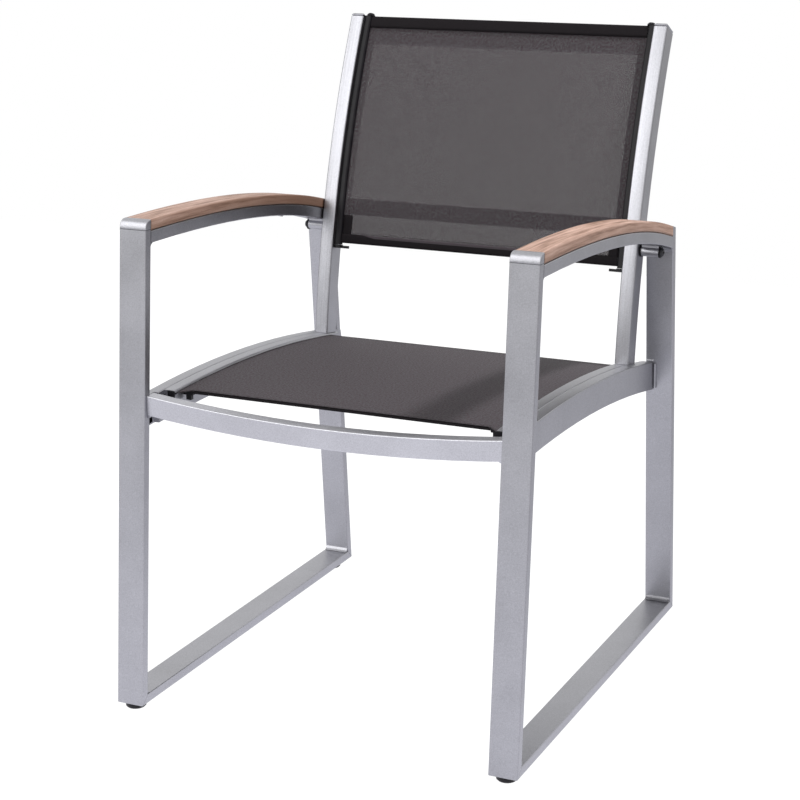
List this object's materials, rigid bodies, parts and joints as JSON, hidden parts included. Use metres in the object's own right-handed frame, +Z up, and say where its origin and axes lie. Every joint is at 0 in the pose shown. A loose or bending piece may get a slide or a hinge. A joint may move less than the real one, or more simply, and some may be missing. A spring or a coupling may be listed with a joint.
{
  "type": "sling patio chair",
  "caption": "Fixed patio armchair: flat-tube aluminium side frames with teak arm strips, an arched seat frame and a reclined back, both spanned with open-weave sling cloth.",
  "frame": {"origin": "middle of the footprint's bounding box, on the floor under the glides", "axes": "+Z up. The chair faces -Y, so the person who sits in it looks along -Y. +X is on the right of the front view."},
  "size_m": [0.584, 0.6902, 0.8813],
  "materials": {
    "satin_aluminium": "satin, fine bead-blasted look",
    "teak": "oiled teak with straight grain",
    "black_plastic": "matte black",
    "sling_cloth": "open-weave coated yarn mesh, dark grey-brown",
    "screw_steel": "plain stainless",
    "black_steel": "black oxide"
  },
  "bodies": {
    "root": {"front_leg_right": "satin_aluminium", "front_leg_left": "satin_aluminium", "rear_leg_right": "satin_aluminium", "rear_leg_left": "satin_aluminium", "floor_runner_right": "satin_aluminium", "floor_runner_left": "satin_aluminium", "arm_tube_right": "satin_aluminium", "arm_tube_left": "satin_aluminium", "teak_arm_right": "teak", "teak_arm_left": "teak", "arm_screw_1_right": "screw_steel", "arm_screw_1_left": "screw_steel", "arm_screw_2_right": "screw_steel", "arm_screw_2_left": "screw_steel", "glide_front_right": "black_plastic", "glide_rear_right": "black_plastic", "glide_front_left": "black_plastic", "glide_rear_left": "black_plastic", "seat_rail_right": "satin_aluminium", "seat_rail_left": "satin_aluminium", "seat_front_bar": "satin_aluminium", "seat_rear_bar": "satin_aluminium", "seat_sling": "sling_cloth", "seat_bead_rod_right": "black_plastic", "seat_bead_rod_left": "black_plastic", "seat_batten_front": "satin_aluminium", "seat_batten_rear": "satin_aluminium", "batten_shoe_front_right": "black_plastic", "batten_shoe_front_left": "black_plastic", "batten_shoe_rear_right": "black_plastic", "batten_shoe_rear_left": "black_plastic", "back_upright_right": "satin_aluminium", "back_upright_left": "satin_aluminium", "back_cross_bar_1": "satin_aluminium", "back_cross_bar_2": "satin_aluminium", "upright_cap_right": "satin_aluminium", "upright_cap_left": "satin_aluminium", "arm_mount_sleeve_right": "satin_aluminium", "arm_mount_sleeve_left": "satin_aluminium", "inner_washer_right": "black_plastic", "inner_washer_left": "black_plastic", "outer_washer_right": "black_plastic", "outer_washer_left": "black_plastic", "arm_mount_bolt_right": "black_steel", "arm_mount_bolt_left": "black_steel", "back_channel_right": "black_plastic", "back_channel_left": "black_plastic", "channel_top_stop_right": "black_plastic", "channel_top_stop_left": "black_plastic", "channel_bottom_stop_right": "black_plastic", "channel_bottom_stop_left": "black_plastic", "back_sling": "sling_cloth", "back_bead_rod_right": "black_plastic", "back_bead_rod_left": "black_plastic", "back_batten_top": "satin_aluminium", "back_batten_bottom": "satin_aluminium"}
  },
  "joints": []
}
